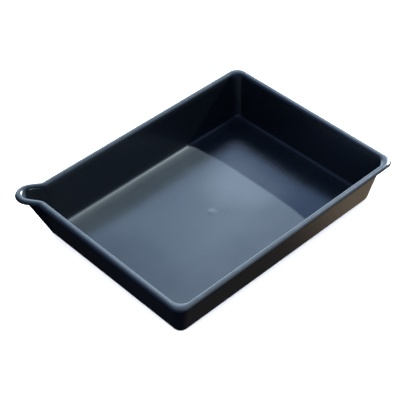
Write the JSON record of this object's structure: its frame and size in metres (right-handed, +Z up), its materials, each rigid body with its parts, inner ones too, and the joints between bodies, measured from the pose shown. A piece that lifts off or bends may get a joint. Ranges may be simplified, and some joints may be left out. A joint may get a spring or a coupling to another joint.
{
  "type": "paint tray",
  "caption": "Flat-bottomed rectangular plastic tray with outward-leaning walls, a rolled rim and a pouring spout at one corner.",
  "frame": {"origin": "middle of the flat underside that the tray stands on", "axes": "+X along the tray, away from the spout's end; +Y across it, towards the spout's side; +Z up, out of the open top"},
  "size_m": [0.4131, 0.3151, 0.069],
  "materials": {
    "black_plastic": "satin black moulded polypropylene"
  },
  "bodies": {
    "root": {"tray": "black_plastic"}
  },
  "joints": []
}
